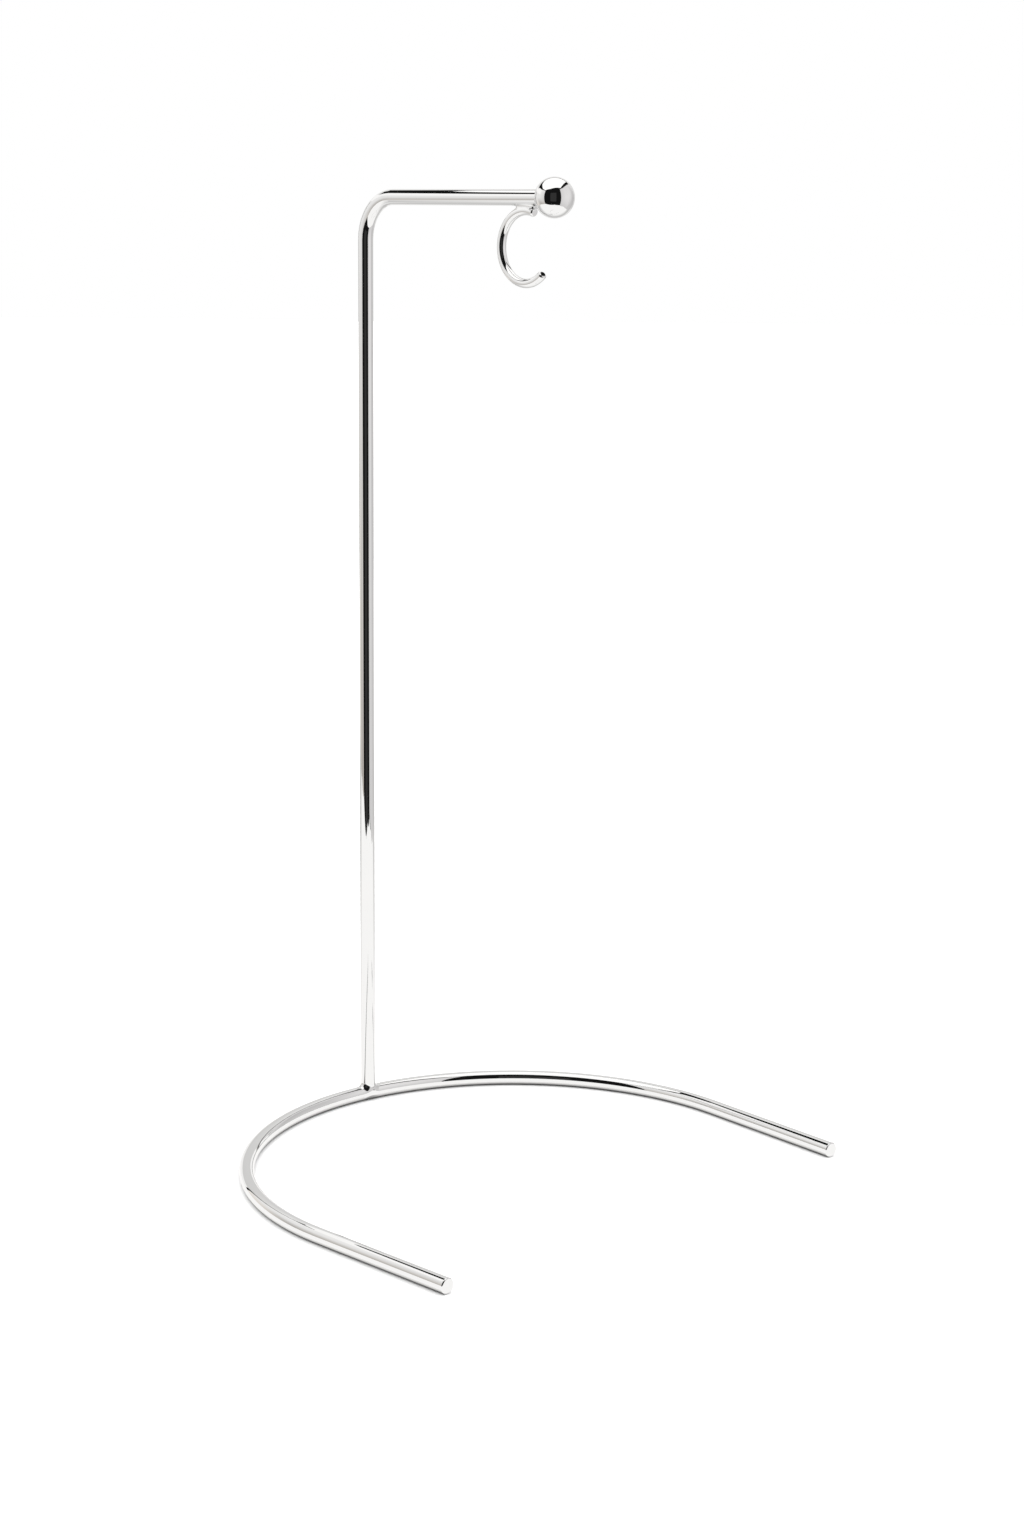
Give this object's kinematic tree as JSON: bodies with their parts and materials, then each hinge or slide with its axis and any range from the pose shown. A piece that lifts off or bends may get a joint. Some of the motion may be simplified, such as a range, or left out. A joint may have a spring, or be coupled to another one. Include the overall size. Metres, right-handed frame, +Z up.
{
  "type": "hook stand",
  "caption": "Free-standing chrome rod display stand: U-shaped base hoop, bent mast and arm with a ball end, and an open hook ring under the arm.",
  "frame": {"origin": "on the table, at the middle of the base's footprint", "axes": "+X the way the arm and the open side of the base face, +Z up, +Y to the left of the arm"},
  "size_m": [0.1819, 0.2188, 0.3807],
  "materials": {
    "rod_chrome": "polished chrome plate",
    "ball_chrome": "polished chrome plate",
    "wire_chrome": "polished chrome plate",
    "braze_chrome": "chrome plate over brazed fillet",
    "stud_steel": "plain steel thread"
  },
  "bodies": {
    "root": {"base_hoop": "rod_chrome", "mast": "rod_chrome", "ball_stud": "stud_steel", "ball_finial": "ball_chrome", "hook_ring": "wire_chrome", "foot_braze": "braze_chrome", "hook_braze": "braze_chrome"}
  },
  "joints": []
}
